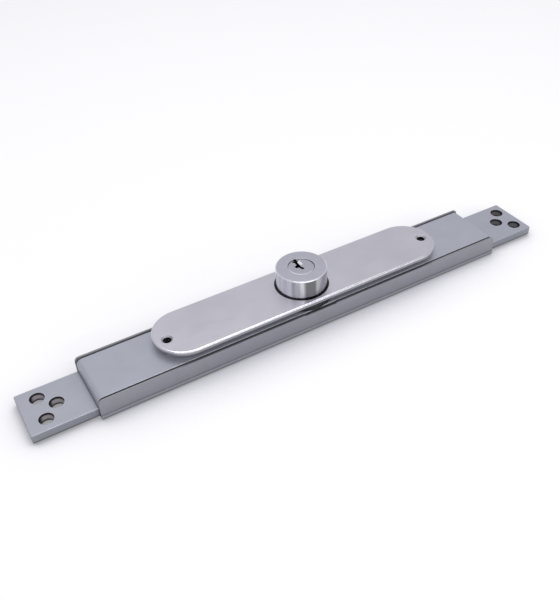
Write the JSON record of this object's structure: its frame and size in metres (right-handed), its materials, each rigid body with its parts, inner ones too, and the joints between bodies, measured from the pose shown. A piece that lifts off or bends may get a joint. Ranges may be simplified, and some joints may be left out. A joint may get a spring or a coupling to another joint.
{
  "type": "roller shutter lock",
  "caption": "Long folded steel lock case with a flat bolt sliding out of each end, a round-ended cover plate and a round key cylinder that drives both bolts by rack and pinion.",
  "frame": {"origin": "middle of the tray's flat underside", "axes": "+X along the lock towards the right bolt, +Y across it, +Z from the back to the key face"},
  "size_m": [0.2992, 0.0342, 0.0294],
  "materials": {
    "tray_steel": "folded zinc-plated sheet, satin, bluish grey",
    "lid_steel": "zinc-plated sheet, satin",
    "plate_steel": "satin, fine brushed grain along the length",
    "bolt_steel": "zinc-plated flat bar, satin",
    "polished_steel": "turned and polished, satin top face",
    "nickelled_brass": "nickel-plated brass, satin face",
    "brass": "machined brass",
    "spring_steel": "drawn spring wire and spring strip",
    "gear_steel": "machined and oiled",
    "fastener_steel": "zinc-plated screws, rivets, posts and studs",
    "nylon": "natural nylon",
    "black_rubber": "matt black"
  },
  "bodies": {
    "housing": {"base_tray": "tray_steel", "lid": "lid_steel", "cover_plate": "plate_steel", "centring_collar": "black_rubber", "cylinder_cap": "polished_steel", "cylinder_core": "brass", "thrust_washer": "nylon", "inner_post_left": "fastener_steel", "inner_post_right": "fastener_steel", "outer_post_left": "fastener_steel", "outer_post_right": "fastener_steel", "lid_screw_left": "fastener_steel", "lid_screw_right": "fastener_steel", "flange_rivet_left": "fastener_steel", "flange_rivet_right": "fastener_steel", "plate_stud_left": "fastener_steel", "plate_stud_right": "fastener_steel", "driver_pin_1": "brass", "driver_pin_2": "brass", "driver_pin_3": "brass", "driver_pin_4": "brass", "driver_pin_5": "brass", "pin_spring_1": "spring_steel", "pin_spring_2": "spring_steel", "pin_spring_3": "spring_steel", "pin_spring_4": "spring_steel", "pin_spring_5": "spring_steel"},
    "plug": {"plug": "nickelled_brass", "plug_clip": "spring_steel", "drive_pinion": "gear_steel", "key_pin_1": "brass", "key_pin_2": "brass", "key_pin_3": "brass", "key_pin_4": "brass", "key_pin_5": "brass"},
    "bolt_left": {"bolt_left": "bolt_steel"},
    "bolt_right": {"bolt_right": "bolt_steel"}
  },
  "joints": [
    {"name": "bolt_left_slide", "type": "slide", "parent": "housing", "child": "bolt_left", "axis": [-1, 0, 0], "range_m": [0, 0.01884]},
    {"name": "bolt_right_slide", "type": "slide", "parent": "housing", "child": "bolt_right", "axis": [1, 0, 0], "range_m": [0, 0.01884]},
    {"name": "plug_turn", "type": "hinge", "parent": "housing", "child": "plug", "pos_m": [0, 0, 0.0292], "axis": [0, 0, 1], "range_deg": [0, 180]}
  ],
  "couplings": [
    {"joint": "bolt_right_slide", "follows": "bolt_left_slide", "ratio": 1},
    {"joint": "plug_turn", "follows": "bolt_left_slide", "rad_per_m": 166.67}
  ]
}
